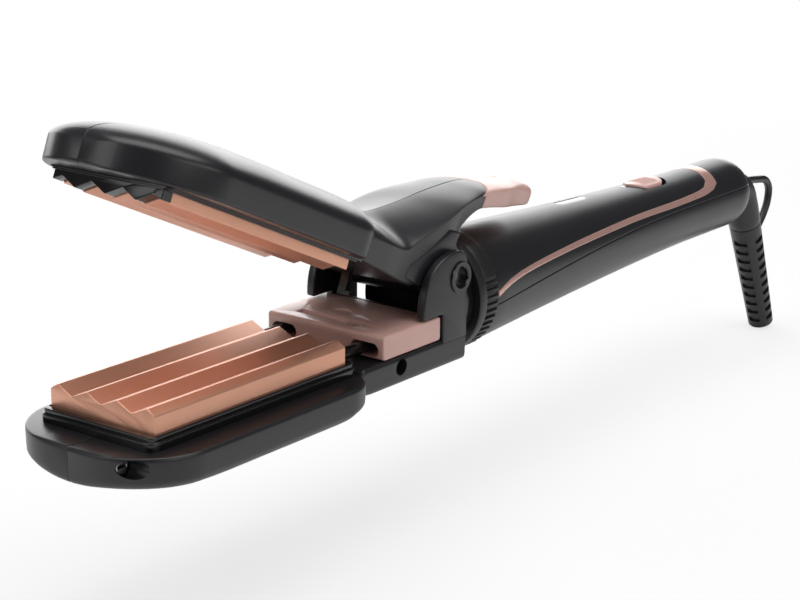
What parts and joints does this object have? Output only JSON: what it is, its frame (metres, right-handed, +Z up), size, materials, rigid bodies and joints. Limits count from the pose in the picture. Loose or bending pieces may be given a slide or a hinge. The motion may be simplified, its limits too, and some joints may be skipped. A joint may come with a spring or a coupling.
{
  "type": "hair waver",
  "caption": "Hair waver: hinged jaws with zigzag copper plates, spring lever, lock slider, locking ring, tapered handle with slide switch, and a swivelling cord outlet with a hang loop.",
  "frame": {"origin": "middle of the overall length and width, at the height of the lowest point, which is the lower edge of the strain relief's free end", "axes": "+X runs from the jaws' noses along the handle to the cord outlet, +Z is up, out of the lower plate's face, and +Y completes a right-handed frame"},
  "size_m": [0.3366, 0.0504, 0.1197],
  "materials": {
    "black_plastic": "satin black moulded plastic",
    "gloss_black": "glossy black moulded plastic",
    "rose_plastic": "pale rose satin-gloss plastic",
    "copper": "copper-coloured coating on aluminium, satin",
    "rose_gold": "rose-gold metallic lacquer",
    "steel": "plain steel",
    "board": "circuit board laminate",
    "ceramic": "heater ceramic",
    "lens": "milky lamp lens"
  },
  "bodies": {
    "handle": {"lower_jaw_left_shell": "black_plastic", "lower_jaw_right_shell": "black_plastic", "lower_plate_frame": "gloss_black", "lower_wave_plate": "copper", "lower_heater": "ceramic", "plate_rods": "gloss_black", "jaw_screws": "steel", "hinge_pin": "steel", "hinge_eyelets": "gloss_black", "torsion_spring": "steel", "head_spigot": "gloss_black", "handle_top_shell": "black_plastic", "handle_bottom_shell": "black_plastic", "trim_stripe": "rose_gold", "status_window": "gloss_black", "led_lens": "lens", "circuit_board": "board", "switch_body": "gloss_black", "socket_block": "gloss_black", "swivel_bush": "gloss_black"},
    "upper_jaw": {"upper_jaw_left_shell": "black_plastic", "upper_jaw_right_shell": "black_plastic", "upper_plate_frame": "gloss_black", "upper_wave_plate": "copper", "upper_end_cap": "gloss_black", "upper_heater": "ceramic", "latch_hook": "gloss_black", "lever_tip": "rose_plastic"},
    "lock_slider": {"lock_slider": "rose_plastic"},
    "locking_ring": {"locking_ring": "black_plastic"},
    "power_switch": {"power_switch": "rose_plastic"},
    "cord_swivel": {"swivel_elbow": "black_plastic", "strain_relief": "black_plastic", "hang_loop": "black_plastic"}
  },
  "joints": [
    {"name": "jaw_hinge", "type": "hinge", "parent": "handle", "child": "upper_jaw", "pos_m": [-0.0466, 0, 0.06571], "axis": [0, 1, 0], "range_deg": [-24.2, 4], "stiffness_Nm_per_rad": 0.6, "springref_deg": -40.11},
    {"name": "lock_slide", "type": "slide", "parent": "handle", "child": "lock_slider", "axis": [0, 1, 0], "range_m": [0, 0.003]},
    {"name": "ring_turn", "type": "hinge", "parent": "handle", "child": "locking_ring", "pos_m": [-0.0329, 0, 0.05502], "axis": [1, 0, 0], "range_deg": [0, 35]},
    {"name": "switch_slide", "type": "slide", "parent": "handle", "child": "power_switch", "axis": [1, 0, 0], "range_m": [0, 0.002]},
    {"name": "cord_swivel_turn", "type": "hinge", "parent": "handle", "child": "cord_swivel", "pos_m": [0.1365, 0, 0.05502], "axis": [1, 0, 0], "continuous": true}
  ]
}
